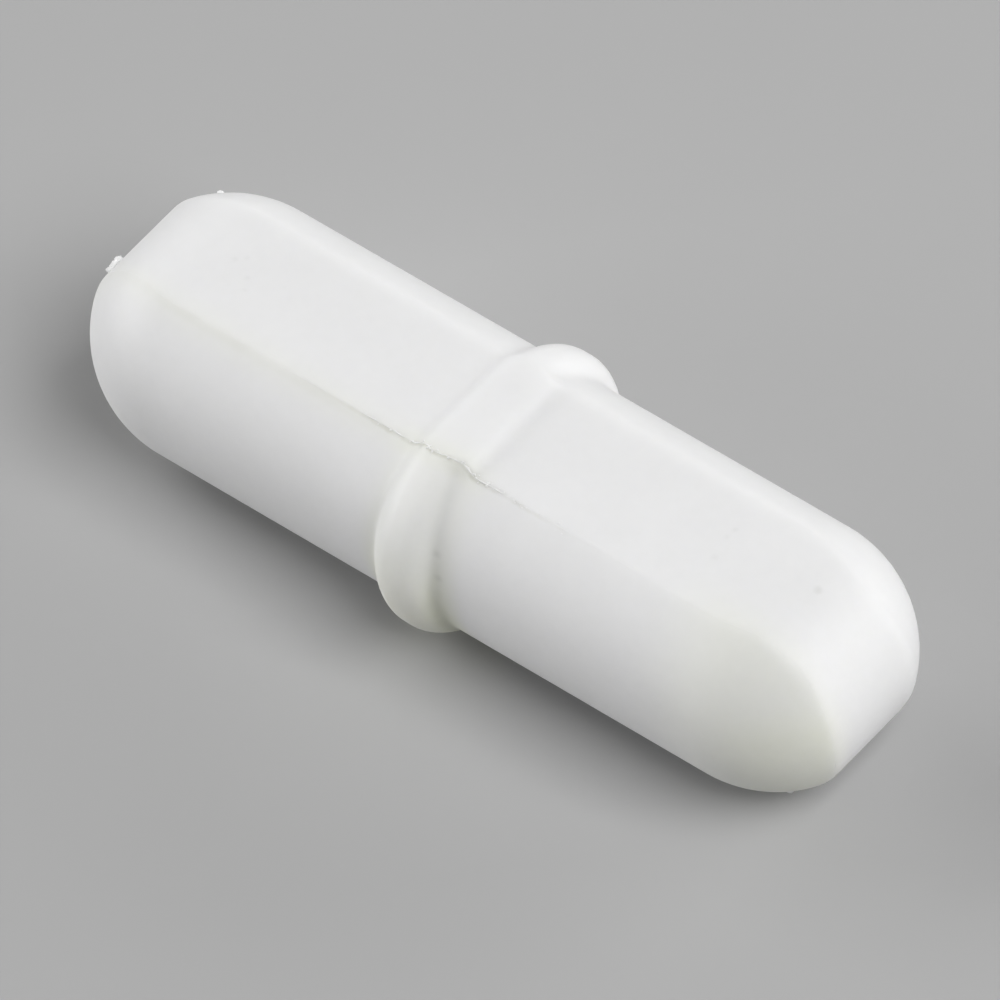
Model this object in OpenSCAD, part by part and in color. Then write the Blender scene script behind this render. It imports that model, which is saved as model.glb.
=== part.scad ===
// Magnetic stir bar with a pivot ring: a rod magnet sealed in a pressed white jacket.
// The bar lies along X, the press closes along Y, and the two die-wall flats face +Z and -Z.
// Origin: the centre of the bar. Millimetres.

/* [Jacket] */
// Length of the bar over its two end walls
bar_len = 25; // [22:0.1:30]
// Diameter of the round cups that the two punches press
body_d = 7.25; // [6.8:0.05:8.5]
// Height between the two flats that the die wall leaves
flats_h = 6.3; // [5.8:0.05:6.6]
// How far the end wall stops short of the round tip of the cups
tip_cut = 0.375; // [0.2:0.025:0.8]
// Corner radius between a flat and the end wall
corner_r = 2.75; // [2:0.05:2.85]
// Bulge radius of the end wall
end_r = 3.75; // [3.5:0.05:6]

/* [Pivot ring] */
// Height of the ring at the middle of each cup, from where it thins out towards the flats
ring_h = 0.6; // [0.4:0.05:0.75]
// Width of the ring at the middle of the back cup
ring_w = 1.75; // [1.3:0.05:2.5]
// Width of the ring at the middle of the front cup
front_ring_w = 1.9; // [1.3:0.05:2.5]
// Width of the level crest of the ring on the cups
crest_w = 0.4; // [0.2:0.05:0.8]
// Sideways offset of the ring that the front punch pressed
front_ring_shift = -0.2; // [-0.4:0.05:0]
// Tilt of the ring that the front punch pressed, in degrees
front_ring_tilt = 1.8; // [0:0.1:2.5]

/* [Band on the flats] */
// Height of the band that carries the ring across each flat
band_h = 0.25; // [0.15:0.01:0.4]
// Reach of the band towards -X
band_left = 0.9; // [0.7:0.05:1.2]
// Reach of the band towards +X
band_right = 1.1; // [0.7:0.05:1.2]
// Width of the curved flank on each side of the band's level crest
band_flank = 0.35; // [0.25:0.05:0.6]

/* [Magnet] */
// Diameter of the rod magnet
magnet_d = 4.2; // [3:0.05:4.6]
// Length of the rod magnet
magnet_len = 19.5; // [12:0.1:20]
// Chamfer round both ends of the magnet
magnet_chamfer = 0.3; // [0.1:0.05:0.6]
// Clearance between the magnet and its pocket
magnet_gap = 0.02; // [0.01:0.01:0.1]

/* [Hidden] */
$fn = 128;

jacket_white = [0.93, 0.93, 0.90];
magnet_gray = [0.42, 0.43, 0.45];

body_r = body_d / 2;
half_len = bar_len / 2;
half_h = flats_h / 2;

// The cups end in spheres as wide as the body, centred here
cup_end_x = half_len + tip_cut - body_r;

// End wall: a bulge arc, with a corner arc that is tangent to it and to the flat
bulge_x = half_len - end_r;
corner_z = half_h - corner_r;
arc_gap = end_r - corner_r;
corner_x = bulge_x + sqrt(arc_gap * arc_gap - corner_z * corner_z);
bulge_a = asin(corner_z / arc_gap);
// Straight steps that stand for each arc of the end wall
arc_steps = 16;

// Distance from the middle plane to the parting edge along a flat
wall_edge_y = sqrt(body_r * body_r - half_h * half_h);

// Tall and wide enough to clear the ring on every side
outer_r = body_r + ring_h + 1;
ring_reach = 2 * outer_r;

// Points of an arc about [cx, cz] from angle a0, with its last point left to the next arc
function arc(cx, cz, r, a0, a1) =
    [for (i = [0 : arc_steps - 1]) let (a = a0 + (a1 - a0) * i / arc_steps) [cx + r * cos(a), cz + r * sin(a)]];

// Die outline seen along the press direction, round from the lower right corner
die_outline = concat(
    arc(corner_x, -corner_z, corner_r, -90, -bulge_a),
    arc(bulge_x, 0, end_r, -bulge_a, bulge_a),
    arc(corner_x, corner_z, corner_r, bulge_a, 90),
    arc(-corner_x, corner_z, corner_r, 90, 180 - bulge_a),
    arc(-bulge_x, 0, end_r, 180 - bulge_a, 180 + bulge_a),
    arc(-corner_x, -corner_z, corner_r, 180 + bulge_a, 270)
);

// Section of a ridge w wide and h high, standing on height 0: an arc through both feet, with a level crest
module ridge_section(w, h, crest) {
    drop = ((w * w - crest * crest) / 4 - h * h) / (2 * h);
    r = sqrt(w * w / 4 + drop * drop);
    intersection() {
        translate([0, -drop])
            circle(r = r);
        translate([-w, -2 * r])
            square([2 * w, 2 * r + h]);
    }
}

// Section of the band on the flats, standing on height 0: each side has its own reach
module band_section() {
    for (side = [-1, 1]) {
        reach = side < 0 ? band_left : band_right;
        intersection() {
            ridge_section(2 * reach, band_h, 2 * (reach - band_flank));
            translate([side < 0 ? -ring_reach : -band_flank / 4, -ring_reach])
                square([ring_reach + band_flank / 4, 2 * ring_reach]);
        }
    }
}

// Everything inside the die wall: the long outline with the ring's band above and below
module die_prism() {
    rotate([90, 0, 0])
        linear_extrude(height = 2 * outer_r, center = true) {
            polygon(die_outline);
            for (side = [0, 1])
                mirror([0, side])
                    translate([0, half_h])
                        band_section();
        }
}

// What fills the band from one parting edge to the other, also where it is wider than the rings on the cups
module band_fill() {
    translate([-band_left, -wall_edge_y, -outer_r])
        cube([band_left + band_right, 2 * wall_edge_y, 2 * outer_r]);
}

// Long round body with spherical ends, along X
module capsule() {
    rotate([0, 90, 0])
        rotate_extrude()
            intersection() {
                union() {
                    translate([0, -cup_end_x])
                        square([body_r, 2 * cup_end_x]);
                    translate([0, cup_end_x])
                        circle(r = body_r);
                    translate([0, -cup_end_x])
                        circle(r = body_r);
                }
                translate([0, -bar_len])
                    square([outer_r, 2 * bar_len]);
            }
}

// Half of the pivot ring: side 1 is the back, -1 the front. Its crest is the body's own circle, moved out by ring_h
module half_ring(side, w, shift, tilt) {
    intersection() {
        translate([shift, side * ring_h, 0])
            rotate([0, 90 + tilt, 0])
                rotate_extrude()
                    translate([body_r - ring_h, 0])
                        rotate(-90)
                            ridge_section(w, ring_h, crest_w);
        translate([-ring_reach, side > 0 ? 0 : -outer_r, -outer_r])
            cube([2 * ring_reach, outer_r, 2 * outer_r]);
    }
}

// Rod with chamfered ends, along X
module rod(d, len, chamfer) {
    rotate([0, 90, 0])
        rotate_extrude()
            polygon([
                [0, -len / 2],
                [d / 2 - chamfer, -len / 2],
                [d / 2, -len / 2 + chamfer],
                [d / 2, len / 2 - chamfer],
                [d / 2 - chamfer, len / 2],
                [0, len / 2]
            ]);
}

module ptfe_jacket() {
    color(jacket_white)
        difference() {
            intersection() {
                die_prism();
                union() {
                    capsule();
                    band_fill();
                    half_ring(1, ring_w, 0, 0);
                    half_ring(-1, front_ring_w, front_ring_shift, front_ring_tilt);
                }
            }
            rod(magnet_d + 2 * magnet_gap, magnet_len + 2 * magnet_gap, magnet_chamfer);
        }
}

module magnet_core() {
    color(magnet_gray)
        rod(magnet_d, magnet_len, magnet_chamfer);
}

ptfe_jacket();
magnet_core();
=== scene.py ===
# %% [markdown]
# # A magnetic stir bar
#
# A stir bar is a rod magnet sealed in a white fluoropolymer jacket. The jacket is pressed from
# powder in a die: a straight die wall shapes the flats and the end walls, and two punches, front
# and back, shape the round cups. Where punch and wall meet, a hair of material squeezes out and
# leaves a fine line of flash.
#
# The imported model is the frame: it says how long and how thick everything is. This lesson builds
# the jacket again with soft edges, adds the flash and the small marks, gives both pieces their
# finish and lights them.

# %% Load the frame
import math
import random
import bmesh
import bpy
from mathutils import Matrix, Vector, kdtree, noise


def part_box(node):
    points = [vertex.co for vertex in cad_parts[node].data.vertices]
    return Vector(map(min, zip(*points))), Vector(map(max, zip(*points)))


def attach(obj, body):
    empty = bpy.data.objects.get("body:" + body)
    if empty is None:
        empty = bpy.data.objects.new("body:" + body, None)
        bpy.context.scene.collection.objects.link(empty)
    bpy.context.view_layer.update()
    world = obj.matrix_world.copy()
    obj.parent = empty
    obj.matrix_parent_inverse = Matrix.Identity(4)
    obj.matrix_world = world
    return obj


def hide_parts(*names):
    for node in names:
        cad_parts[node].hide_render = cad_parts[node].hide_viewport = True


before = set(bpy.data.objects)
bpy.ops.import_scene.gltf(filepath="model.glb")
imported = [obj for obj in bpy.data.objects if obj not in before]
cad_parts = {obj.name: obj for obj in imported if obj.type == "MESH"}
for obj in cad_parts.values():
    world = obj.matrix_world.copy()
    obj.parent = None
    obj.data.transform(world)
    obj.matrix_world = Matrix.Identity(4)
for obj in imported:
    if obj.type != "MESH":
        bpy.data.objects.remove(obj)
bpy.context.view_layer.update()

MM = 0.001
jacket_low, jacket_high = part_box("ptfe_jacket")
_, magnet_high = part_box("magnet_core")
print("jacket box in mm:", [round((top - bottom) / MM, 3) for top, bottom in zip(jacket_high, jacket_low)])

# %% [markdown]
# ## The sizes
#
# The frame's box gives the length, and the ring's crest over cups and over flats. The heights of
# the ring and of its band have to be known to get from the crest down to the body. The end wall is
# three arcs that are tangent to each other: a corner, a gentle bulge and a corner.

# %% Sizes of the body, the die wall and the ring
RING_HEIGHT = 0.6 * MM  # at the middle of each cup
RING_WIDTH = 1.75 * MM  # on the back cup
FRONT_RING_WIDTH = 1.9 * MM
FRONT_RING_SHIFT = -0.2 * MM
FRONT_RING_TILT = math.radians(1.8)
CREST_WIDTH = 0.4 * MM
BAND_HEIGHT = 0.25 * MM
BAND_LEFT = 0.9 * MM  # reach of the band from the middle towards -X
BAND_RIGHT = 1.1 * MM
BAND_FLANK = 0.35 * MM
TIP_CUT = 0.375 * MM  # how far the end wall stops short of the cups' round tip
CORNER_RADIUS = 2.75 * MM
BULGE_RADIUS = 3.75 * MM

half_length = jacket_high.x
body_radius = max(jacket_high.y, -jacket_low.y) - RING_HEIGHT
half_height = jacket_high.z - BAND_HEIGHT
cup_end_x = half_length + TIP_CUT - body_radius
wall_edge_y = math.sqrt(body_radius ** 2 - half_height ** 2)

bulge_x = half_length - BULGE_RADIUS
corner_z = half_height - CORNER_RADIUS
arc_gap = BULGE_RADIUS - CORNER_RADIUS
corner_x = bulge_x + math.sqrt(arc_gap ** 2 - corner_z ** 2)
bulge_angle = math.asin(corner_z / arc_gap)
corner_angle = math.pi / 2 - bulge_angle
print("body radius", round(body_radius / MM, 3), "mm, half height", round(half_height / MM, 3), "mm")

# %% [markdown]
# ## Small helpers
#
# Everything is drawn the way one draws by hand: a point is extruded along straights and spun round
# arcs until it makes an outline, the outline is filled, and the face is pushed out or spun into a
# solid. An operator acts on all that is selected, so each step starts by clearing the selection.

# %% Helpers for picking and editing
TOUCH = 0.0001 * MM  # points closer than this are one point


def object_mode():
    if bpy.context.object and bpy.context.object.mode != "OBJECT":
        bpy.ops.object.mode_set(mode="OBJECT")
    bpy.ops.object.select_all(action="DESELECT")


def pick(piece):
    object_mode()
    piece.select_set(True)
    bpy.context.view_layer.objects.active = piece


def edit(piece, action="SELECT"):
    pick(piece)
    bpy.ops.object.mode_set(mode="EDIT")
    bpy.ops.mesh.select_all(action=action)


def named_primitive(name):
    """The primitive just added, with its name and with its place and turn moved into its mesh."""
    piece = bpy.context.object
    piece.name = name
    bpy.ops.object.transform_apply(location=True, rotation=True, scale=True)
    return piece


def count(piece):
    print(piece.name, len(piece.data.vertices), "points,", len(piece.data.polygons), "faces")


# %% Helpers for outlines
ARC_STEPS = 24


def start_outline(name, x, z, y=0.0):
    """A mesh of one point, left in edit mode and selected."""
    object_mode()
    bpy.ops.mesh.primitive_plane_add(size=MM, location=(x, y, z))
    piece = named_primitive(name)
    edit(piece)
    bpy.ops.mesh.merge(type="CENTER")
    return piece


def draw_straight(x, z):
    bpy.ops.mesh.extrude_vertices_move(TRANSFORM_OT_translate={"value": (x, 0, z)})


def draw_arc(x, z, angle, y=0.0):
    """Spins the end point about the Y direction, from up towards +X."""
    bpy.ops.mesh.spin(steps=ARC_STEPS, angle=-angle, center=(x, y, z), axis=(0, 1, 0))


def fill_outline():
    bpy.ops.mesh.select_all(action="SELECT")
    bpy.ops.mesh.remove_doubles(threshold=TOUCH)
    bpy.ops.mesh.select_all(action="SELECT")
    bpy.ops.mesh.edge_face_add()


def outward_normals():
    bpy.ops.mesh.select_all(action="SELECT")
    bpy.ops.mesh.normals_make_consistent(inside=False)
    object_mode()


# %% Helpers for modifiers
def modify(piece, kind, **settings):
    """Adds a modifier and applies it."""
    pick(piece)
    modifier = piece.modifiers.new(kind.title(), kind)
    for setting, value in settings.items():
        setattr(modifier, setting, value)
    bpy.ops.object.modifier_apply(modifier=modifier.name)


def combine(piece, other, operation):
    """Boolean of two solids. The other one is used up."""
    modify(piece, "BOOLEAN", object=other, operation=operation, solver="MANIFOLD")
    bpy.data.objects.remove(other)


def keep_inside(piece):
    """Moves points that lie outside the frame's box of the jacket onto it."""
    for point in piece.data.vertices:
        limits = zip(point.co, jacket_low, jacket_high)
        point.co = [max(least, min(most, value)) for value, least, most in limits]


# %% [markdown]
# ## The round body
#
# What the punches press is a long round body with spherical ends. It could be a cylinder with two
# half spheres joined on. A sphere whose two halves are moved apart is that body at once, with no
# seam between its straight and round stretches.

# %% Body from a sphere with its halves moved apart
BODY_SEGMENTS = 256
BODY_RINGS = 128

object_mode()
bpy.ops.mesh.primitive_uv_sphere_add(
    segments=BODY_SEGMENTS, ring_count=BODY_RINGS, radius=body_radius, rotation=(0, math.pi / 2, 0)
)
jacket = named_primitive("soft_jacket")

for side in (1, -1):
    edit(jacket, "DESELECT")
    object_mode()
    for point in jacket.data.vertices:
        point.select = side * point.co.x > TOUCH
    pick(jacket)
    bpy.ops.object.mode_set(mode="EDIT")
    bpy.ops.transform.translate(value=(side * cup_end_x, 0, 0))
object_mode()
count(jacket)

# %% [markdown]
# ## The ring
#
# The ring's section is an arc through both feet, cut level at the crest. It is spun round an axis
# beside the bar's own, so its crest is the body's circle moved out towards the punch: the ring
# stands highest in the middle of the cup and thins out towards the flats. A ring spun round the
# bar's own axis would be as high at the flats. There a low band carries it across, drawn from a
# flatter section that is pushed straight along the press direction. The front punch stood a little
# off, so its half has its own width, place and tilt.

# %% Section of a ridge
SUNK = 0.4 * MM  # how far a section reaches down into what it stands on
FOOT_OVERLAP = 0.05 * MM  # how far the arc runs on below the surface it stands on


def centre_drop(reach, height, flank):
    """How deep below the foot the centre lies of the arc from a foot at reach up to the level crest."""
    return (reach ** 2 - (reach - flank) ** 2 - height ** 2) / (2 * height)


def ridge_section(name, left, right, height, flank, base, y=0.0):
    """The filled section of a ridge with its feet left and right of the middle, in edit mode and selected."""
    section = None
    for side, reach in ((-1, left), (1, right)):
        drop = centre_drop(reach, height, flank)
        start_z = drop - FOOT_OVERLAP
        start_x = math.sqrt(reach ** 2 + drop ** 2 - start_z ** 2)
        sweep = math.atan2(start_x, start_z) - math.atan2(reach - flank, drop + height)
        if side == -1:
            section = start_outline(name, -start_x, base - SUNK, y)
            draw_straight(0, SUNK - FOOT_OVERLAP)
            draw_arc(0, base - drop, sweep, y)
            draw_straight(left + right - 2 * flank, 0)
        else:
            draw_arc(0, base - drop, sweep, y)
            draw_straight(0, FOOT_OVERLAP - SUNK)
    fill_outline()
    return section


# %% Ring halves on the cups
RING_STEPS = 256
OVERRUN = 0.5 * MM  # how far a half is cut past the middle, where the die wall hides its end


def half_ring(name, side, width, x, tilt):
    """Half of the ring round the X axis: side 1 is the back half, -1 the front."""
    flank = (width - CREST_WIDTH) / 2
    half = ridge_section(name, width / 2, width / 2, RING_HEIGHT, flank, body_radius - RING_HEIGHT)
    bpy.ops.mesh.delete(type="ONLY_FACE")
    bpy.ops.mesh.select_all(action="SELECT")
    bpy.ops.mesh.spin(steps=RING_STEPS, angle=2 * math.pi, center=(0, 0, 0), axis=(1, 0, 0))
    bpy.ops.mesh.select_all(action="SELECT")
    bpy.ops.mesh.remove_doubles(threshold=TOUCH)
    pick(half)
    half.location = (x, side * RING_HEIGHT, 0)
    half.rotation_euler = (0, tilt, 0)
    bpy.ops.object.transform_apply(location=True, rotation=True, scale=True)
    edit(half)
    middle_plane = {"plane_co": (0, -side * OVERRUN, 0), "plane_no": (0, side, 0)}
    bpy.ops.mesh.bisect(use_fill=True, clear_inner=True, threshold=TOUCH, **middle_plane)
    outward_normals()
    return half


combine(jacket, half_ring("back_ring", 1, RING_WIDTH, 0, 0), "UNION")
combine(jacket, half_ring("front_ring", -1, FRONT_RING_WIDTH, FRONT_RING_SHIFT, FRONT_RING_TILT), "UNION")
count(jacket)

# %% [markdown]
# The band on the flats reaches further towards +X than the rings do. Past them the round body alone
# doesn't fill it up to the parting edges, and a wider ring would show on the cups, so a block fills
# it from one parting edge to the other.

# %% Block that fills the ring's band
FILL_EXCESS = 0.5 * MM  # how far the block stands out of the flats' bands, for the die wall to cut


def block(name, corner, opposite):
    """A box between two corners."""
    object_mode()
    bpy.ops.mesh.primitive_cube_add(size=1, location=(corner + opposite) / 2, scale=opposite - corner)
    return named_primitive(name)


fill_corner = Vector((-BAND_LEFT, -wall_edge_y, -jacket_high.z - FILL_EXCESS))
fill_opposite = Vector((BAND_RIGHT, wall_edge_y, jacket_high.z + FILL_EXCESS))
combine(jacket, block("band_fill", fill_corner, fill_opposite), "UNION")
count(jacket)

# %% [markdown]
# ## The die wall
#
# Seen along the press direction, the bar has the outline of the die: two level runs joined by the
# three arcs of each end wall. The flats and end walls could be cut off one by one. Instead the
# outline is filled and pushed out into a block with the ring's band above and below, and what the
# block and the body share is the jacket.

# %% Die block, and the body cut by it
DIE_DEPTH = 12 * MM  # more than the ring measures over the cups, so that only the outline cuts
BAND_DEPTH = 11 * MM  # a little less, so that no faces of the two lie in one plane


def ring_band(name):
    band = ridge_section(name, BAND_LEFT, BAND_RIGHT, BAND_HEIGHT, BAND_FLANK, half_height, -BAND_DEPTH / 2)
    bpy.ops.mesh.extrude_region_move(TRANSFORM_OT_translate={"value": (0, BAND_DEPTH, 0)})
    outward_normals()
    return band


die = start_outline("die_block", corner_x, half_height, -DIE_DEPTH / 2)
for side in (1, -1):
    draw_arc(side * corner_x, side * corner_z, corner_angle, -DIE_DEPTH / 2)
    draw_arc(side * bulge_x, 0, 2 * bulge_angle, -DIE_DEPTH / 2)
    draw_arc(side * corner_x, -side * corner_z, corner_angle, -DIE_DEPTH / 2)
    if side == 1:
        draw_straight(-2 * corner_x, 0)
fill_outline()
bpy.ops.mesh.extrude_region_move(TRANSFORM_OT_translate={"value": (0, DIE_DEPTH, 0)})
outward_normals()

upper_band = ring_band("upper_band")
lower_band = ring_band("lower_band")
edit(lower_band)
bpy.ops.transform.mirror(constraint_axis=(False, False, True), center_override=(0, 0, 0))
outward_normals()
combine(die, upper_band, "UNION")
combine(die, lower_band, "UNION")
combine(jacket, die, "INTERSECT")
count(jacket)

# %% [markdown]
# ## The camera
#
# The camera comes before the small marks, because they are placed by the pixel where they lie in
# its picture. It stands far off with a long lens, so that the bar shows almost no perspective, and
# it is rolled a little, as a hand-held one is.

# %% Camera far off with a long lens
AZIMUTH = math.radians(-40.88)
ELEVATION = math.radians(50.13)
ROLL = math.radians(-11.46)
PICTURE = 1000
PIXELS_PER_MM = 39.05
BAR_CENTRE_PIXEL = (502.1, 490.4)
LENS = 1000
SENSOR = 36
CLIP_NEAR = 0.1  # both as shares of the distance
CLIP_FAR = 10


def direction(azimuth, elevation):
    """The way from the bar's middle towards something, as a vector of length 1."""
    return Vector((
        math.cos(elevation) * math.cos(azimuth),
        math.cos(elevation) * math.sin(azimuth),
        math.sin(elevation),
    ))


towards_camera = direction(AZIMUTH, ELEVATION)
level_right = Vector((0, 0, 1)).cross(towards_camera).normalized()
level_up = towards_camera.cross(level_right)
picture_right = math.cos(ROLL) * level_right + math.sin(ROLL) * level_up
picture_up = math.cos(ROLL) * level_up - math.sin(ROLL) * level_right

pixel = MM / PIXELS_PER_MM
half_picture = PICTURE / 2
aim = (
    picture_right * (half_picture - BAR_CENTRE_PIXEL[0]) * pixel
    - picture_up * (half_picture - BAR_CENTRE_PIXEL[1]) * pixel
)
distance = PICTURE * pixel * LENS / SENSOR

camera_data = bpy.data.cameras.new("camera")
camera_data.lens = LENS
camera_data.sensor_width = SENSOR
camera_data.clip_start = distance * CLIP_NEAR
camera_data.clip_end = distance * CLIP_FAR
camera = bpy.data.objects.new("camera", camera_data)
bpy.context.scene.collection.objects.link(camera)
facing = Matrix((picture_right, picture_up, towards_camera)).transposed().to_4x4()
camera.matrix_world = Matrix.Translation(aim + towards_camera * distance) @ facing
bpy.context.scene.camera = camera
print("camera", round(distance / MM), "mm off")

# %% From a point to its pixel and back
def pixel_of(point):
    """Where a point of the bar shows in the picture, in pixels from its upper left corner."""
    from_aim = point - aim
    shrink = distance / (distance - from_aim.dot(towards_camera)) / pixel
    right = from_aim.dot(picture_right) * shrink
    up = from_aim.dot(picture_up) * shrink
    return Vector((half_picture + right, half_picture - up))


def surface_at(piece, x, y):
    """The point of the piece that the camera sees at a pixel."""
    seen = aim + picture_right * (x - half_picture) * pixel - picture_up * (y - half_picture) * pixel
    start = camera.matrix_world.translation
    return piece.ray_cast(start, seen - start)[1]


print("the bar's middle is at pixel", [round(place, 2) for place in pixel_of(Vector())])

# %% [markdown]
# ## The parting edges
#
# The parting edges are where the straight die wall meets the punched cups. They could be worked out
# by formula. On the cut solid they are simply the edges with a wall face on one side and a cup face
# on the other, so they are picked by their normals, copied off as a path and divided into short
# steps.

# %% Path of the parting edges
WALL_SLACK = 0.001  # how far the normal of a wall face may lean along the press direction
JOIN_STEP = 0.01 * MM
LONGEST_STEP = 0.1 * MM
HALVINGS = 8


def select_edges(piece, wanted):
    """Selects the wanted edges of a piece that is in edit mode."""
    shape = bmesh.from_edit_mesh(piece.data)
    for edge in shape.edges:
        edge.select_set(wanted(edge))
    bmesh.update_edit_mesh(piece.data)


def is_parting(edge):
    return sum(abs(face.normal.y) < WALL_SLACK for face in edge.link_faces) == 1


bpy.context.tool_settings.mesh_select_mode = (False, True, False)
edit(jacket, "DESELECT")
select_edges(jacket, is_parting)
bpy.ops.mesh.duplicate()
bpy.ops.mesh.separate(type="SELECTED")
flash = next(piece for piece in bpy.context.selected_objects if piece != jacket)
object_mode()
flash.name = "parting_flash"

edit(flash)
bpy.ops.mesh.remove_doubles(threshold=JOIN_STEP)
for _ in range(HALVINGS):
    bpy.ops.mesh.select_all(action="DESELECT")
    select_edges(flash, lambda edge: edge.calc_length() > LONGEST_STEP)
    bpy.ops.mesh.subdivide(number_cuts=1)
bpy.context.tool_settings.mesh_select_mode = (True, False, False)
object_mode()
count(flash)

# %% [markdown]
# A boolean leaves its edges in another order each time it runs. The path is therefore built again
# with its points and edges sorted by place, so that all that follows from it comes out the same in
# every run.

# %% Path with its points and edges in order
def put_in_order(path):
    points = [tuple(point.co) for point in path.data.vertices]
    order = sorted(range(len(points)), key=points.__getitem__)
    rank = {number: place for place, number in enumerate(order)}
    edges = sorted(sorted(rank[end] for end in edge.vertices) for edge in path.data.edges)
    ordered = bpy.data.meshes.new(path.name)
    ordered.from_pydata(sorted(points), edges, [])
    path.data = ordered


put_in_order(flash)
print("first point of the path in mm:", [round(value / MM, 3) for value in flash.data.vertices[0].co])

# %% [markdown]
# ## Soft edges
#
# Pressed and tumbled fluoropolymer has no sharp edge. Bevels would do on a plain box, but here
# edges and feet meet and fade out, where a bevel tangles. A fine voxel remesh turns the cut solid
# into one even skin instead, and a light smoothing takes off its edges everywhere. The feet of the
# ring are rounder still, and so are the parting edges at the right end and along the back, so they
# are smoothed further, by a vertex group that fades out with the distance to them.

# %% Distance to the parting edge
def finder(points):
    tree = kdtree.KDTree(len(points))
    for number, point in enumerate(points):
        tree.insert(point, number)
    tree.balance()
    return tree


def parting_gap(point, edge_finder):
    """Distance to the parting edge in millimetres, plus on the cups and minus on the wall."""
    nearest, _, gap = edge_finder.find(point)
    return math.copysign(gap, abs(point.y) - abs(nearest.y)) / MM


# %% Distance to the ring's foot
def ring_reach(width, depth):
    """Half the width of the ring's section at a depth below its crest."""
    drop = centre_drop(width / 2, RING_HEIGHT, (width - CREST_WIDTH) / 2)
    rise = drop + RING_HEIGHT - max(depth, 0)
    return math.sqrt(max(width ** 2 / 4 + drop ** 2 - rise ** 2, 0))


def foot_gap(point):
    """Distance in millimetres to the nearest foot: of the band on the wall, of the ring on the cups."""
    if abs(point.y) < wall_edge_y:
        feet = (-BAND_LEFT, BAND_RIGHT)
        above = abs(point.z) - half_height
    else:
        above = math.hypot(point.y, point.z) - body_radius
        crest = RING_HEIGHT * abs(point.y) / math.hypot(point.y, point.z)
        reach = ring_reach(FRONT_RING_WIDTH if point.y < 0 else RING_WIDTH, crest)
        middle_x = FRONT_RING_SHIFT + math.tan(FRONT_RING_TILT) * point.z if point.y < 0 else 0
        feet = (middle_x - reach, middle_x + reach)
    return min(math.hypot(point.x - foot, above) for foot in feet) / MM


# %% Share of the added smoothing
FOOT_FADE = 0.4  # all the fades are in millimetres, as the distances are
CRISP_FADE = 0.3
CRISP_SHARE = 0.15
ROUND_FADE = 0.6
ROUND_SHARE = 1.0
FRONT_ROUND_START = 7.5 * MM
BACK_ROUND_START = -10.5 * MM
ROUND_RUN = 3.0 * MM


def bell(gap, fade):
    """A share of 1 where the gap is 0, which fades out with it."""
    return math.exp(-(gap / fade) ** 2)


def edge_softness(point, gap):
    """The share at the parting edge, which is crisp towards the left and round towards the right."""
    start = BACK_ROUND_START if point.y > 0 else FRONT_ROUND_START
    roundness = min(1, max(0, (point.x - start) / ROUND_RUN))
    share = CRISP_SHARE + (ROUND_SHARE - CRISP_SHARE) * roundness
    fade = CRISP_FADE + (ROUND_FADE - CRISP_FADE) * roundness
    return share * bell(gap, fade)


# %% Remeshed and smoothed jacket
VOXEL = 0.09 * MM
SMOOTH_FACTOR = 0.5
SMOOTHING = 5
ADDED_SMOOTHING = 18

modify(jacket, "REMESH", mode="VOXEL", voxel_size=VOXEL, use_smooth_shade=True)
modify(jacket, "SMOOTH", factor=SMOOTH_FACTOR, iterations=SMOOTHING)

sharp_edges = finder([point.co for point in flash.data.vertices])
soft = jacket.vertex_groups.new(name="soft")
for point in jacket.data.vertices:
    at_foot = bell(foot_gap(point.co), FOOT_FADE)
    at_edge = edge_softness(point.co, parting_gap(point.co, sharp_edges))
    soft.add([point.index], max(at_foot, at_edge), "REPLACE")
modify(jacket, "SMOOTH", factor=SMOOTH_FACTOR, iterations=ADDED_SMOOTHING, vertex_group="soft")
jacket.vertex_groups.clear()
keep_inside(jacket)
count(jacket)

# %% [markdown]
# ## The flash
#
# Most of the flash has worn away. What is left near the ring, where the powder was squeezed
# hardest, is a ragged hair. A thin sheet standing on the edge would show as a fin, which this
# isn't. So the path of the parting edges is laid on the rounded skin, shaken a little and turned
# into a curve with a round section, whose radius comes and goes. Away from the ring on the front,
# and all along the back, it thins out to almost nothing.

# %% Flash with a wandering radius
FLASH_RADIUS = 0.028 * MM
FLASH_ROUNDNESS = 2
FLASH_GRAIN = 0.25 * MM
FLASH_SHAKE = 0.02 * MM
FLASH_SEED = 4  # without a seed the noise vectors differ from run to run
FLASH_LEAST = 0.05
FLASH_MEAN = 0.5
FLASH_AFAR = 0.15
FLASH_REACH = 3.0 * MM

modify(flash, "SHRINKWRAP", target=jacket, wrap_method="NEAREST_SURFACEPOINT")
parting_points = [point.co.copy() for point in flash.data.vertices]
noise.seed_set(FLASH_SEED)
for point in flash.data.vertices:
    point.co += noise.noise_vector(point.co / FLASH_GRAIN) * FLASH_SHAKE


def flash_share(point):
    """How much of the full radius is left at a point, from 0 to 1."""
    if point.y > 0:
        return FLASH_LEAST
    ragged = FLASH_MEAN + noise.noise(point / FLASH_GRAIN)
    return min(1, max(FLASH_LEAST, ragged * (FLASH_AFAR + bell(point.x, FLASH_REACH))))


pick(flash)
bpy.ops.object.convert(target="CURVE")
flash.data.bevel_depth = FLASH_RADIUS
flash.data.bevel_resolution = FLASH_ROUNDNESS
for spline in flash.data.splines:
    for point in spline.points:
        point.radius = flash_share(point.co.xyz)
bpy.ops.object.convert(target="MESH")
count(flash)

# %% [markdown]
# ## Burrs and crumbs
#
# In a few places a crumb of the flash was left standing. It could be sculpted, but each burr is so
# small that a sphere will do, stretched, roughened by a cloud texture and set on the skin point
# that shows nearest to its pixel. Near the ring the flash has crumbled as well, so tiny lumps are
# strewn along the front edge, thickest at the ring.

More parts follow.
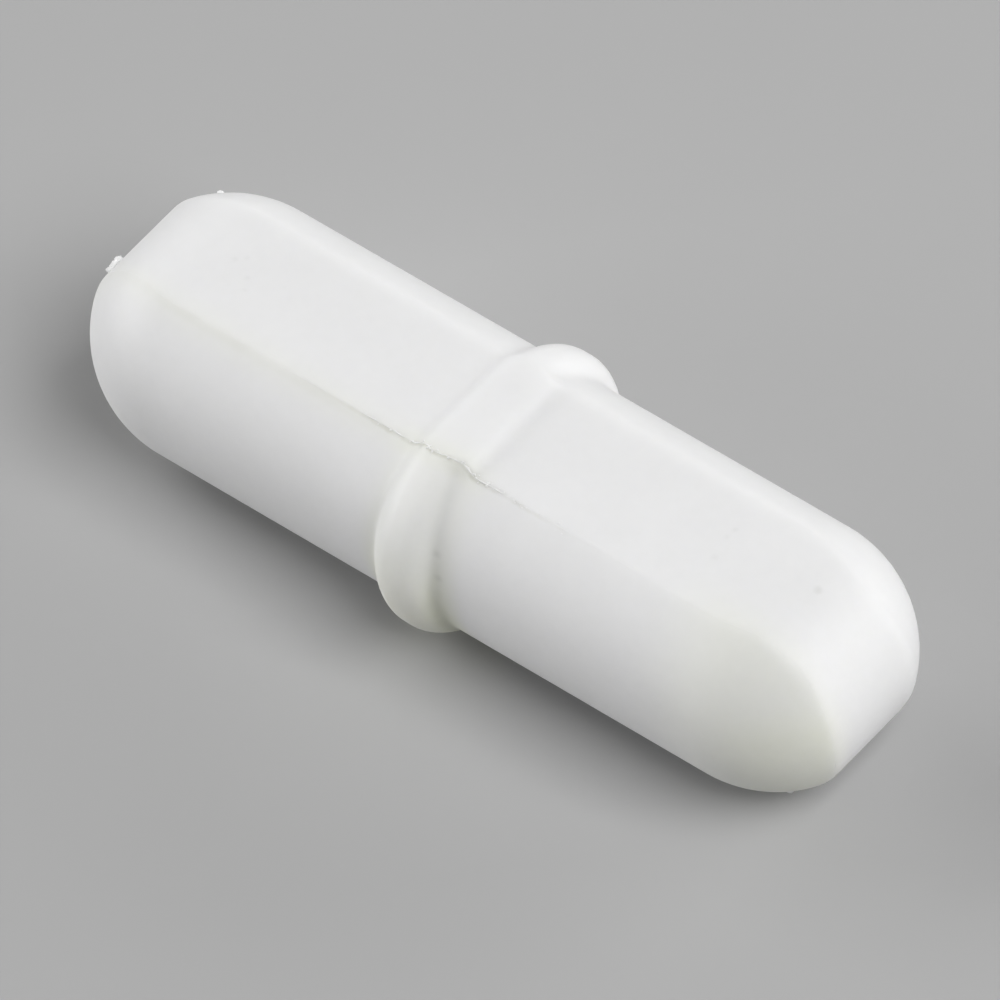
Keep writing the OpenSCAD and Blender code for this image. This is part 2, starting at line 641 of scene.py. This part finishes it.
# %% Burrs where they show
BURR_GRAIN = 0.09 * MM
BURR_LEVEL = 0.6  # grey of the cloud texture that leaves the sphere as it is
BURR_SUBDIVISIONS = 4

# pixel, radius in pixels, stretch, share of the radius that is sunk
BURRS = (
    ((112, 263), 6.0, 1.0, 0.0),
    ((108, 267), 5.0, 1.0, 0.0),
    ((117, 259), 5.0, 1.2, 0.0),
    ((221, 187), 4.0, 1.4, 0.6),
    ((789, 790), 3.5, 2.0, 0.7),
)

burr_clouds = bpy.data.textures.new("burr_clouds", "CLOUDS")
burr_clouds.noise_scale = BURR_GRAIN
skin_points = [point.co.copy() for point in jacket.data.vertices]
shown_points = finder([pixel_of(point).to_3d() for point in skin_points])


def skin_point_at(x, y):
    """The point of the jacket that shows nearest to a pixel beside or on its outline."""
    return skin_points[shown_points.find((x, y, 0))[1]]


def add_lump(name, place, radius, stretch, sunk, subdivisions):
    """A rough lump, stretched along the bar and up, and sunk into the skin by a share of its radius."""
    _, place, normal, _ = jacket.closest_point_on_mesh(place)
    place = place - normal * radius * sunk
    object_mode()
    bpy.ops.mesh.primitive_ico_sphere_add(subdivisions=subdivisions, radius=radius, location=place)
    bpy.context.object.scale = (stretch, 1, stretch)
    lump = named_primitive(name)
    modify(lump, "DISPLACE", texture=burr_clouds, strength=radius, mid_level=BURR_LEVEL)
    return lump


lumps = []
for number, ((x, y), radius, stretch, sunk) in enumerate(BURRS):
    name = "burr_" + str(number)
    lumps.append(add_lump(name, skin_point_at(x, y), radius * pixel, stretch, sunk, BURR_SUBDIVISIONS))
print(len(lumps), "burrs")

# %% Crumbs along the front edge
CRUMBS = 45
CRUMB_SEED = 4
CRUMB_MIDDLE = 0.6 * MM
CRUMB_REACH = 1.6 * MM
CRUMB_SCATTER = 0.04 * MM
CRUMB_LEAST = 0.02 * MM
CRUMB_MOST = 0.04 * MM
CRUMB_STRETCH = 1.2
CRUMB_SUNK = 0.6
CRUMB_SUBDIVISIONS = 3

front_edge = [point for point in parting_points if point.y < 0 and point.z > 0]
chance = random.Random(CRUMB_SEED)
for number in range(CRUMBS):
    x = chance.gauss(CRUMB_MIDDLE, CRUMB_REACH)
    place = min(front_edge, key=lambda point: abs(point.x - x))
    place = place + Vector([chance.gauss(0, CRUMB_SCATTER) for _ in range(3)])
    radius = chance.uniform(CRUMB_LEAST, CRUMB_MOST)
    name = "crumb_" + str(number)
    lumps.append(add_lump(name, place, radius, CRUMB_STRETCH, CRUMB_SUNK, CRUMB_SUBDIVISIONS))

pick(flash)
for lump in lumps:
    lump.select_set(True)
bpy.ops.object.join()
keep_inside(flash)
pick(flash)
bpy.ops.object.shade_smooth()
count(flash)

# %% [markdown]
# ## The pocket
#
# The magnet lies in a pocket of its own shape. A boolean cut would do, but there is nothing to cut
# open: the pocket is a closed skin inside the jacket, its faces turned towards the magnet, so
# joining it in leaves the jacket a shell with one outer and one inner surface.

# %% Pocket round the magnet
POCKET_GAP = 0.02 * MM
POCKET_SEGMENTS = 96
MAGNET_CHAMFER = 0.3 * MM

object_mode()
bpy.ops.mesh.primitive_cylinder_add(
    vertices=POCKET_SEGMENTS,
    radius=magnet_high.z + POCKET_GAP,
    depth=2 * (magnet_high.x + POCKET_GAP),
    rotation=(0, math.pi / 2, 0),
)
pocket = named_primitive("magnet_pocket")
modify(pocket, "BEVEL", width=MAGNET_CHAMFER, segments=1, limit_method="ANGLE")
edit(pocket)
bpy.ops.mesh.flip_normals()
pick(jacket)
pocket.select_set(True)
bpy.ops.object.join()
pick(jacket)
bpy.ops.object.shade_smooth()
count(jacket)

# %% [markdown]
# ## Distances for the finish
#
# The finish has to know how far each point is from the parting edge and from the foot of the ring,
# and how high it stands. Painted masks would be as coarse as the mesh. The distances are kept on
# the mesh instead, in millimetres. The one to the parting edge has a sign, so it runs straight
# across the edge, and a line finer than the mesh can be drawn with it.

# %% Distances kept on the mesh
def keep_distance(piece, name, distance_of):
    layer = piece.data.attributes.new(name, "FLOAT", "POINT")
    layer.data.foreach_set("value", [distance_of(point.co) for point in piece.data.vertices])
    print(piece.name, name, "kept on", len(layer.data), "points")


def ring_height(point):
    """Height in millimetres above the flats on the wall, and above the round body on the cups."""
    if abs(point.y) < wall_edge_y:
        return (abs(point.z) - half_height) / MM
    return (math.hypot(point.y, point.z) - body_radius) / MM


soft_edges = finder(parting_points)
keep_distance(jacket, "parting_gap", lambda point: parting_gap(point, soft_edges))
keep_distance(jacket, "foot_gap", foot_gap)
keep_distance(jacket, "ring_height", ring_height)

# %% [markdown]
# ## Node groups
#
# The effects are small groups with named sockets, so that each can be used again on another part: a
# cloudy value, a ragged line along a distance, a round spot, a fine grain and lengthwise grinding
# marks. Painted pictures would tie them to one mesh. The groups put out only values, masks and
# normals, and the shaders stay in the materials.

# %% Helpers for node trees
NODE_STEP = 180  # how far the nodes stand apart in the editor


def link_or_set(tree, socket, value):
    """Links the socket from another one, or sets it to a constant."""
    if isinstance(value, bpy.types.NodeSocket):
        tree.links.new(value, socket)
    else:
        socket.default_value = value


def add_node(tree, kind, inputs=(), **settings):
    """Adds a node. Inputs are given by name or number."""
    node = tree.nodes.new(kind)
    node.location = (NODE_STEP * len(tree.nodes), 0)
    for setting, value in settings.items():
        setattr(node, setting, value)
    for key, value in dict(inputs).items():
        link_or_set(tree, node.inputs[key], value)
    return node


def add_math(tree, operation, *values, clamp=False):
    node = add_node(tree, "ShaderNodeMath", enumerate(values), operation=operation, use_clamp=clamp)
    return node.outputs[0]


def add_chain(tree, operation, first, *others):
    """Takes the values together from left to right: their product, sum or maximum."""
    result = first
    for value in others:
        result = add_math(tree, operation, result, value)
    return result


def add_ramp(tree, value, start, end, low=0.0, high=1.0):
    """Smooth step of a value from low to high while it runs from start to end."""
    inputs = {"Value": value, "From Min": start, "From Max": end, "To Min": low, "To Max": high}
    return add_node(tree, "ShaderNodeMapRange", inputs, interpolation_type="SMOOTHSTEP").outputs[0]


def add_vector(tree, operation, inputs, output="Vector"):
    return add_node(tree, "ShaderNodeVectorMath", inputs, operation=operation).outputs[output]


# %% Helpers for noise
PER_MM = 1 / MM
NOISE_MEAN = 0.5


def add_scale(tree, size):
    """Noise scale for a size in millimetres."""
    return add_math(tree, "DIVIDE", PER_MM, size)


def add_noise(tree, vector, scale, detail=2.0):
    """Noise from 0 to 1 round its mean."""
    inputs = {"Vector": vector, "Scale": scale, "Detail": detail}
    return add_node(tree, "ShaderNodeTexNoise", inputs).outputs[0]


def add_swing(tree, vector, scale):
    """Noise from -1 to 1."""
    off_mean = add_math(tree, "SUBTRACT", add_noise(tree, vector, scale), NOISE_MEAN)
    return add_math(tree, "MULTIPLY", off_mean, 2.0)


# %% Helpers for groups
FIELD = {"Value": "NodeSocketFloat", "Vector": "NodeSocketVector"}


def new_group(name, inputs, output):
    """A shader node group. Inputs map a socket's name to its kind and its default."""
    tree = bpy.data.node_groups.new(name, "ShaderNodeTree")
    for socket, (kind, default) in inputs.items():
        item = tree.interface.new_socket(socket, in_out="INPUT", socket_type=FIELD[kind])
        item.default_value = default
    tree.interface.new_socket(output[0], in_out="OUTPUT", socket_type=FIELD[output[1]])
    return tree, tree.nodes.new("NodeGroupInput").outputs


def put_out(tree, value):
    result = add_node(tree, "NodeGroupOutput")
    tree.links.new(value, result.inputs[0])
    print("group", tree.name, "has", len(tree.nodes), "nodes")
    return tree


def use_group(tree, group, inputs):
    return add_node(tree, "ShaderNodeGroup", inputs, node_tree=group).outputs[0]


# %% Group: cloudy value
CLOUD_DETAIL = 3.0

tree, given = new_group(
    "cloudy_value",
    {
        "Vector": ("Vector", (0, 0, 0)),
        "Size": ("Value", 1.0),
        "Spread": ("Value", 0.1),
    },
    ("Value", "Value"),
)
cloud = add_noise(tree, given["Vector"], add_scale(tree, given["Size"]), CLOUD_DETAIL)
off_mean = add_math(tree, "MULTIPLY", add_math(tree, "SUBTRACT", cloud, NOISE_MEAN), given["Spread"])
cloudy_value = put_out(tree, add_math(tree, "ADD", off_mean, 1.0))

# %% Group: ragged line along a distance
BREAK_SCALE = 0.6  # noise scale of the breaks, as a share of the waver's
BREAK_RISE = (0.35, 0.65)

tree, given = new_group(
    "ragged_line",
    {
        "Vector": ("Vector", (0, 0, 0)),
        "Gap": ("Value", 1.0),
        "Centre": ("Value", 0.0),
        "Width": ("Value", 0.1),
        "Waver": ("Value", 0.05),
        "Breaks": ("Value", 0.5),
        "Size": ("Value", 0.5),
    },
    ("Mask", "Value"),
)
scale = add_scale(tree, given["Size"])
shift = add_math(tree, "MULTIPLY", add_swing(tree, given["Vector"], scale), given["Waver"])
wavering = add_math(tree, "ADD", given["Gap"], shift)
off_centre = add_math(tree, "ABSOLUTE", add_math(tree, "SUBTRACT", wavering, given["Centre"]))
line = add_ramp(tree, off_centre, given["Width"], 0.0)
break_noise = add_noise(tree, given["Vector"], add_math(tree, "MULTIPLY", scale, BREAK_SCALE))
lost = add_math(tree, "MULTIPLY", add_ramp(tree, break_noise, *BREAK_RISE), given["Breaks"])
kept = add_math(tree, "SUBTRACT", 1.0, lost)
ragged_line = put_out(tree, add_math(tree, "MULTIPLY", line, kept, clamp=True))

# %% Group: round spot
tree, given = new_group(
    "spot",
    {
        "Vector": ("Vector", (0, 0, 0)),
        "Centre": ("Vector", (0, 0, 0)),
        "Radius": ("Value", 0.1),
        "Softness": ("Value", 0.5),
        "Raggedness": ("Value", 0.3),
    },
    ("Mask", "Value"),
)
reach = add_vector(tree, "DISTANCE", {0: given["Vector"], 1: given["Centre"]}, "Value")
reach = add_math(tree, "DIVIDE", add_math(tree, "DIVIDE", reach, MM), given["Radius"])
swing = add_swing(tree, given["Vector"], add_scale(tree, given["Radius"]))
reach = add_math(tree, "ADD", reach, add_math(tree, "MULTIPLY", swing, given["Raggedness"]))
spot = put_out(tree, add_ramp(tree, reach, 1.0, add_math(tree, "SUBTRACT", 1.0, given["Softness"])))

# %% Group: fine grain
GRAIN_DETAIL = 4.0

tree, given = new_group(
    "fine_grain",
    {
        "Vector": ("Vector", (0, 0, 0)),
        "Size": ("Value", 0.1),
        "Height": ("Value", 0.002),
    },
    ("Normal", "Vector"),
)
grain = add_noise(tree, given["Vector"], add_scale(tree, given["Size"]), GRAIN_DETAIL)
lift = add_math(tree, "MULTIPLY", given["Height"], MM)
bump = add_node(tree, "ShaderNodeBump", {"Strength": 1.0, "Distance": lift, "Height": grain})
fine_grain = put_out(tree, bump.outputs[0])

# %% Group: grinding marks along X
MARK_DETAIL = 3.0

tree, given = new_group(
    "grinding_marks",
    {
        "Vector": ("Vector", (0, 0, 0)),
        "Size": ("Value", 0.1),
        "Stretch": ("Value", 20.0),
    },
    ("Value", "Value"),
)
parts = add_node(tree, "ShaderNodeSeparateXYZ", {0: given["Vector"]}).outputs
along = add_math(tree, "DIVIDE", parts[0], given["Stretch"])
squeezed = add_node(tree, "ShaderNodeCombineXYZ", {0: along, 1: parts[1], 2: parts[2]}).outputs[0]
marks = add_noise(tree, squeezed, add_scale(tree, given["Size"]), MARK_DETAIL)
grinding_marks = put_out(tree, marks)

# %% [markdown]
# ## The white finish
#
# Pressed fluoropolymer is a neutral white that lets a little light in under its skin. Plain white
# paint would look hard, so the shader scatters light below the surface. On top of that come slight
# clouds, and all the marks are masks between 0 and 1: each says where a tone goes, and the colours
# are mixed by them at the end.

# %% White jacket material
WHITE = (0.87, 0.87, 0.872, 1)
JACKET_SHADER = {
    "Roughness": 0.45,
    "IOR": 1.35,
    "Subsurface Weight": 1.0,
    "Subsurface Radius": (1.0, 1.0, 0.97),
    "Subsurface Scale": 0.45 * MM,
}
BROAD_CLOUDS = {"Size": 1.8, "Spread": 0.05}
SMALL_CLOUDS = {"Size": 0.3, "Spread": 0.03}


def new_material(name, constants):
    """A new material, its node tree, its shader with the constants set, and its Object coordinates."""
    material = bpy.data.materials.new(name)
    material.use_nodes = True
    tree = material.node_tree
    shader = tree.nodes["Principled BSDF"]
    for socket, value in constants.items():
        shader.inputs[socket].default_value = value
    return material, tree, shader, add_node(tree, "ShaderNodeTexCoord").outputs["Object"]


def axes_of(tree, where):
    return add_node(tree, "ShaderNodeSeparateXYZ", {0: where}).outputs


def kept_distance(tree, name):
    """A distance that was kept on the mesh."""
    return add_node(tree, "ShaderNodeAttribute", attribute_name=name).outputs["Fac"]


jacket_white, tree, shader, where = new_material("jacket_white", JACKET_SHADER)
axes = axes_of(tree, where)
edge_gap = kept_distance(tree, "parting_gap")
ring_gap = kept_distance(tree, "foot_gap")
ring_rise = kept_distance(tree, "ring_height")
broad = use_group(tree, cloudy_value, {"Vector": where, **BROAD_CLOUDS})
small = use_group(tree, cloudy_value, {"Vector": where, **SMALL_CLOUDS})
clouds = add_math(tree, "MULTIPLY", broad, small)

# %% Places on the jacket
# Each place is 0 at its first value and 1 at its second. Gaps are in millimetres.
IN_FRONT = (-0.5 * MM, -2.0 * MM)
ON_BACK = (1.2 * MM, 3.0 * MM)
LOW_DOWN = (2.0 * MM, -3.0 * MM)
NEAR_RING = (1.9 * MM, 1.0 * MM)
NEAR_EDGE = (0.9, 0.1)

off_middle = add_math(tree, "ABSOLUTE", axes[0])
in_front = add_ramp(tree, axes[1], *IN_FRONT)
on_back = add_ramp(tree, axes[1], *ON_BACK)
low_down = add_ramp(tree, axes[2], *LOW_DOWN)
near_ring = add_ramp(tree, off_middle, *NEAR_RING)
near_edge = add_ramp(tree, add_math(tree, "ABSOLUTE", edge_gap), *NEAR_EDGE)
print("jacket_white has", len(tree.nodes), "nodes for clouds and places")

# %% [markdown]
# Painted light: a mask lifts the white on the ring, most of all low down, on the back and on the
# right end wall, where the lamps leave these parts darker than they should look. Where no magnet
# lies close below, more of the light also comes back out. Light traced all the way down to the
# magnet would show that part by itself, but takes far longer.

# %% Painted light, whiter on the ring, the back and the end wall
# the white that the painted light mixes in, and also the flash's own white
LIGHTER_WHITE = (0.96, 0.96, 0.96, 1)
RING_RISE = (0.0, 0.45)
RING_DOWN = (1.5 * MM, -1.0 * MM)
RING_TOP = 0.4
BACK_LOSS = 0.7
BACK_PAINTED_LIGHT = 0.35
END_WALL = (11.0 * MM, 12.2 * MM)
END_PAINTED_LIGHT = 0.6
ON_WALL = (0.2, -0.2)

# painted light: the white is lifted on the ring, most of all low down, on the back and on the right end wall
ring_down = add_ramp(tree, axes[2], *RING_DOWN, low=RING_TOP)
off_back = add_math(tree, "SUBTRACT", 1.0, add_math(tree, "MULTIPLY", on_back, BACK_LOSS))
painted_ring_light = add_chain(tree, "MULTIPLY", add_ramp(tree, ring_rise, *RING_RISE), ring_down, off_back)
end_wall = add_ramp(tree, axes[0], *END_WALL, high=END_PAINTED_LIGHT)
painted_end_light = add_math(tree, "MULTIPLY", end_wall, add_ramp(tree, edge_gap, *ON_WALL))
painted_back_light = add_math(tree, "MULTIPLY", on_back, BACK_PAINTED_LIGHT)
painted_light = add_chain(tree, "MAXIMUM", painted_ring_light, painted_end_light, painted_back_light)
print("jacket_white has", len(tree.nodes), "nodes with the thick parts")

# %% [markdown]
# Three darker lines are drawn in, all by the same group, a ragged line along a distance, each with
# its own width and place. A yellowish painted shade lies in the ring's right foot on the front cup.
# A fine dark line follows the front parting edge near the ring: it is painted shadow under the
# flash, with dirt caught there. A faint line of painted shade follows its left half.

# %% Painted shade in the foot, and painted shadow and shade along the parting edge
# colour of the painted shade and shadow on the jacket, and of the dirt on the flash
SHADE_AND_STAIN = (0.50, 0.50, 0.38, 1)
FOOT_LINE = {"Width": 0.5, "Waver": 0.06, "Breaks": 0.3, "Size": 0.7}
FOOT_SIDE = (-0.3 * MM, 0.1 * MM)
FOOT_STRENGTH = 0.36
EDGE_LINE = {"Centre": 0.05, "Width": 0.09, "Waver": 0.05, "Breaks": 0.8, "Size": 0.35}
EDGE_FADE = (5.0 * MM, 0.8 * MM)
EDGE_LEAST = 0.05
EDGE_STRENGTH = 0.3
FAINT_LINE = {"Centre": 0.1, "Width": 0.28, "Waver": 0.03, "Breaks": 0.4, "Size": 0.8}
FAINT_SIDE = (-1.0 * MM, -2.5 * MM)
FAINT_STRENGTH = 0.1

# painted shade, yellowish, in the ring's right foot on the front cup
foot_place = add_math(tree, "MULTIPLY", add_ramp(tree, axes[0], *FOOT_SIDE), low_down)
foot_line = use_group(tree, ragged_line, {"Vector": where, "Gap": ring_gap, **FOOT_LINE})
painted_foot_shade = add_chain(tree, "MULTIPLY", foot_line, foot_place, in_front, FOOT_STRENGTH)

# painted shadow of the flash along the front edge near the ring, with dirt
edge_place = add_ramp(tree, off_middle, *EDGE_FADE, low=EDGE_LEAST)
edge_line = use_group(tree, ragged_line, {"Vector": where, "Gap": edge_gap, **EDGE_LINE})
edge_shadow_and_dirt = add_chain(tree, "MULTIPLY", edge_line, edge_place, in_front, EDGE_STRENGTH)

# painted shade along the left half of the front edge
faint_place = add_math(tree, "MULTIPLY", add_ramp(tree, axes[0], *FAINT_SIDE, high=FAINT_STRENGTH), in_front)
faint_line = use_group(tree, ragged_line, {"Vector": where, "Gap": edge_gap, **FAINT_LINE})
painted_faint_shade = add_math(tree, "MULTIPLY", faint_line, faint_place)

shade_and_dirt = add_math(tree, "ADD", add_math(tree, "ADD", painted_foot_shade, edge_shadow_and_dirt), painted_faint_shade, clamp=True)
print("jacket_white has", len(tree.nodes), "nodes with the stains")

# %% [markdown]
# The white takes a cream tone on the front: faint along the left half of the parting edge, stronger
# down the ring and towards the tip of the right end. It is a tint that multiplies the white, and not
# a second colour, so the clouds and the painted light go on showing through it.

# %% Cream tone on the front
CREAM = (0.985, 1.0, 0.87, 1)
CLEAR = (1, 1, 1, 1)
LEFT_HALF = (2.5 * MM, 0.5 * MM)
LEFT_CREAM = 0.18
NEAR_RING_CREAM = 0.22
DOWN_RING = (2.4 * MM, -1.8 * MM)
RING_TOP_CREAM = 0.2
RING_CREAM = 1.1
END_PLACE = (7.0 * MM, 10.0 * MM)
END_CREAM = 0.34
TIP_PLACE = (9.5 * MM, 11.5 * MM)
DOWN_TIP = (1.9 * MM, 0.5 * MM)
TIP_CREAM = 0.35

on_left = add_ramp(tree, axes[0], *LEFT_HALF, high=LEFT_CREAM)
on_left = add_math(tree, "ADD", on_left, add_math(tree, "MULTIPLY", near_ring, NEAR_RING_CREAM))
along_edge = add_math(tree, "MULTIPLY", near_edge, on_left)
down_ring = add_ramp(tree, axes[2], *DOWN_RING, low=RING_TOP_CREAM, high=RING_CREAM)
on_ring = add_math(tree, "MULTIPLY", near_ring, down_ring)
on_end = add_ramp(tree, axes[0], *END_PLACE, high=END_CREAM)
down_tip = add_ramp(tree, axes[2], *DOWN_TIP, high=TIP_CREAM)
on_tip = add_math(tree, "MULTIPLY", add_ramp(tree, axes[0], *TIP_PLACE), down_tip)
cream = add_chain(tree, "MAXIMUM", along_edge, on_ring, add_math(tree, "ADD", on_end, on_tip))
cream = add_math(tree, "MULTIPLY", cream, in_front)
print("jacket_white has", len(tree.nodes), "nodes with the cream tone")

# %% [markdown]
# A few specks are pressed into the skin. Strewn at random they would fall in other places than on
# the real bar, so each one is a spot at the skin point behind its own pixel.

# %% Specks
SPECK = (0.45, 0.45, 0.42, 1)
SPECK_SOFTNESS = 1.0

# pixel, radius in pixels, strength
SPECKS = (
    ((818, 590), 8.0, 0.20),
    ((808, 596), 46.0, 0.035),
    ((727, 537), 6.0, 0.07),
    ((735, 530), 5.0, 0.09),
    ((714, 557), 7.0, 0.07),
    ((235, 259), 5.0, 0.08),
    ((247, 258), 5.0, 0.08),
    ((247, 278), 5.0, 0.08),
    ((245, 290), 4.0, 0.06),
    ((437, 554), 7.0, 0.20),
    ((438, 578), 8.0, 0.20),
    ((421, 446), 5.0, 0.20),
)
specks = 0.0
for (x, y), radius, strength in SPECKS:
    place = {"Centre": surface_at(jacket, x, y), "Radius": radius / PIXELS_PER_MM, "Softness": SPECK_SOFTNESS}
    speck = use_group(tree, spot, {"Vector": where, **place})
    specks = add_math(tree, "MAXIMUM", specks, add_math(tree, "MULTIPLY", speck, strength))
print(len(SPECKS), "specks")

# %% Colour and grain of the jacket
JACKET_GRAIN = {"Size": 0.35, "Height": 0.004}


def add_mix(tree, share, first, second):
    """Colour that runs from the first to the second as the share runs from 0 to 1."""
    node = add_node(tree, "ShaderNodeMix", data_type="RGBA")
    # sockets of several types share their names on this node, so those for colours go by number
    for socket, value in zip((node.inputs[0], node.inputs[6], node.inputs[7]), (share, first, second)):
        link_or_set(tree, socket, value)
    return node.outputs[2]


def wear_only(piece, material):
    """Gives a piece the one material."""
    piece.data.materials.clear()
    piece.data.materials.append(material)
    print(piece.name, "wears", material.name, "with", len(material.node_tree.nodes), "nodes")


# painted light lifts the white here
color = add_mix(tree, painted_light, WHITE, LIGHTER_WHITE)
color = add_vector(tree, "MULTIPLY", {0: color, 1: add_mix(tree, cream, CLEAR, CREAM)})
# the painted shade and shadow lines, with the dirt, darken the colour
color = add_mix(tree, shade_and_dirt, color, SHADE_AND_STAIN)
color = add_mix(tree, specks, color, SPECK)
color = add_vector(tree, "SCALE", {0: color, "Scale": clouds})
tree.links.new(color, shader.inputs["Base Color"])
grain = use_group(tree, fine_grain, {"Vector": where, **JACKET_GRAIN})
tree.links.new(grain, shader.inputs["Normal"])
wear_only(jacket, jacket_white)

# %% [markdown]
# The flash has the lighter white of the painted light as its own white, but dirt clings to its
# ragged hair, so it is stained near the ring. It is too thin for light to scatter in it, so it goes without.

# %% Flash material
FLASH_SHADER = {"Roughness": 0.45, "IOR": 1.35}
FLASH_CLOUDS = {"Size": 0.4, "Spread": 0.1}
FLASH_STAIN_PLACE = (5.0 * MM, 0.5 * MM)
FLASH_STAIN = 0.1

flash_white, tree, shader, where = new_material("flash_white", FLASH_SHADER)
clouds = use_group(tree, cloudy_value, {"Vector": where, **FLASH_CLOUDS})
off_middle = add_math(tree, "ABSOLUTE", axes_of(tree, where)[0])
stained = add_ramp(tree, off_middle, *FLASH_STAIN_PLACE, high=FLASH_STAIN)
color = add_mix(tree, stained, LIGHTER_WHITE, SHADE_AND_STAIN)
color = add_vector(tree, "SCALE", {0: color, "Scale": clouds})
tree.links.new(color, shader.inputs["Base Color"])
wear_only(flash, flash_white)

# %% [markdown]
# ## The magnet's finish
#
# The magnet stays the frame's own mesh. It is a cast alloy rod ground to size. A plain grey metal
# would look like a drawn bar, so it gets a cloudy tone and fine marks along its length.

# %% Magnet material
ALLOY = (0.30, 0.30, 0.31, 1)
ALLOY_DARK = (0.16, 0.155, 0.15, 1)
MAGNET_CLOUDS = {"Size": 1.2, "Spread": 0.8}
MAGNET_MARKS = {"Size": 0.12, "Stretch": 30.0}
MAGNET_GRAIN = {"Size": 0.08, "Height": 0.004}
TONE_RISE = (0.3, 0.7)
ROUGHEST = 0.5
SMOOTHEST = 0.32

magnet_alloy, tree, shader, where = new_material("magnet_alloy", {"Metallic": 1.0})
clouds = use_group(tree, cloudy_value, {"Vector": where, **MAGNET_CLOUDS})
marks = use_group(tree, grinding_marks, {"Vector": where, **MAGNET_MARKS})
tone = add_ramp(tree, add_math(tree, "MULTIPLY", clouds, marks), *TONE_RISE)
tree.links.new(add_mix(tree, tone, ALLOY_DARK, ALLOY), shader.inputs["Base Color"])
roughness = add_ramp(tree, marks, *TONE_RISE, low=ROUGHEST, high=SMOOTHEST)
tree.links.new(roughness, shader.inputs["Roughness"])
grain = use_group(tree, fine_grain, {"Vector": where, **MAGNET_GRAIN})
tree.links.new(grain, shader.inputs["Normal"])
wear_only(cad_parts["magnet_core"], magnet_alloy)

# %% [markdown]
# ## Floor and light
#
# The bar lies on its lower flat's band on a plain pale floor. One big lamp overhead would leave a
# white bar without form, so five soft lamps of different power stand round it, and the world itself
# gives no light: each face then has its own tone.

# %% Floor and world
FLOOR_SIZE = 3.0
FLOOR_TONE = (0.45, 0.45, 0.45)
FLOOR_CLOUDS = {"Size": 6.0, "Spread": 0.02}

object_mode()
floor_z = min(point.co.z for point in jacket.data.vertices)
bpy.ops.mesh.primitive_plane_add(size=FLOOR_SIZE, location=(0, 0, floor_z))
floor = named_primitive("floor")
floor_pale, tree, shader, where = new_material("floor_pale", {"Roughness": 0.9})
clouds = use_group(tree, cloudy_value, {"Vector": where, **FLOOR_CLOUDS})
color = add_vector(tree, "SCALE", {0: FLOOR_TONE, "Scale": clouds})
tree.links.new(color, shader.inputs["Base Color"])
wear_only(floor, floor_pale)

world = bpy.data.worlds.new("studio")
world.use_nodes = True
background = world.node_tree.nodes["Background"]
background.inputs["Color"].default_value = (1, 1, 1, 1)
background.inputs["Strength"].default_value = 0.0
bpy.context.scene.world = world
bpy.context.scene.view_settings.view_transform = "Standard"

# %% Lamps round the bar
LAMP_DISTANCE = 0.8
LAMP_SIZE = 0.5

# name, azimuth and elevation in degrees, power in watts
LAMPS = (
    ("right_lamp", 0, 52, 5.4),
    ("back_lamp", 60, 12, 2.4),
    ("far_back_lamp", 120, 12, 1.0),
    ("left_lamp", 210, 12, 3.6),
    ("left_top_lamp", 180, 32, 1.8),
)
for name, azimuth, elevation, power in LAMPS:
    towards = direction(math.radians(azimuth), math.radians(elevation))
    lamp_data = bpy.data.lights.new(name, "AREA")
    lamp_data.energy = power
    lamp_data.size = LAMP_SIZE
    lamp = bpy.data.objects.new(name, lamp_data)
    bpy.context.scene.collection.objects.link(lamp)
    facing = towards.to_track_quat("Z", "Y").to_matrix().to_4x4()
    lamp.matrix_world = Matrix.Translation(towards * LAMP_DISTANCE) @ facing
print(len(LAMPS), "lamps at", LAMP_DISTANCE, "m")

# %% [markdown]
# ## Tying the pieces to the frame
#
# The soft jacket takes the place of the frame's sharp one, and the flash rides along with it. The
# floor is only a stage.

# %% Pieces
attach(jacket, "root")
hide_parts("ptfe_jacket")
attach(flash, "root")
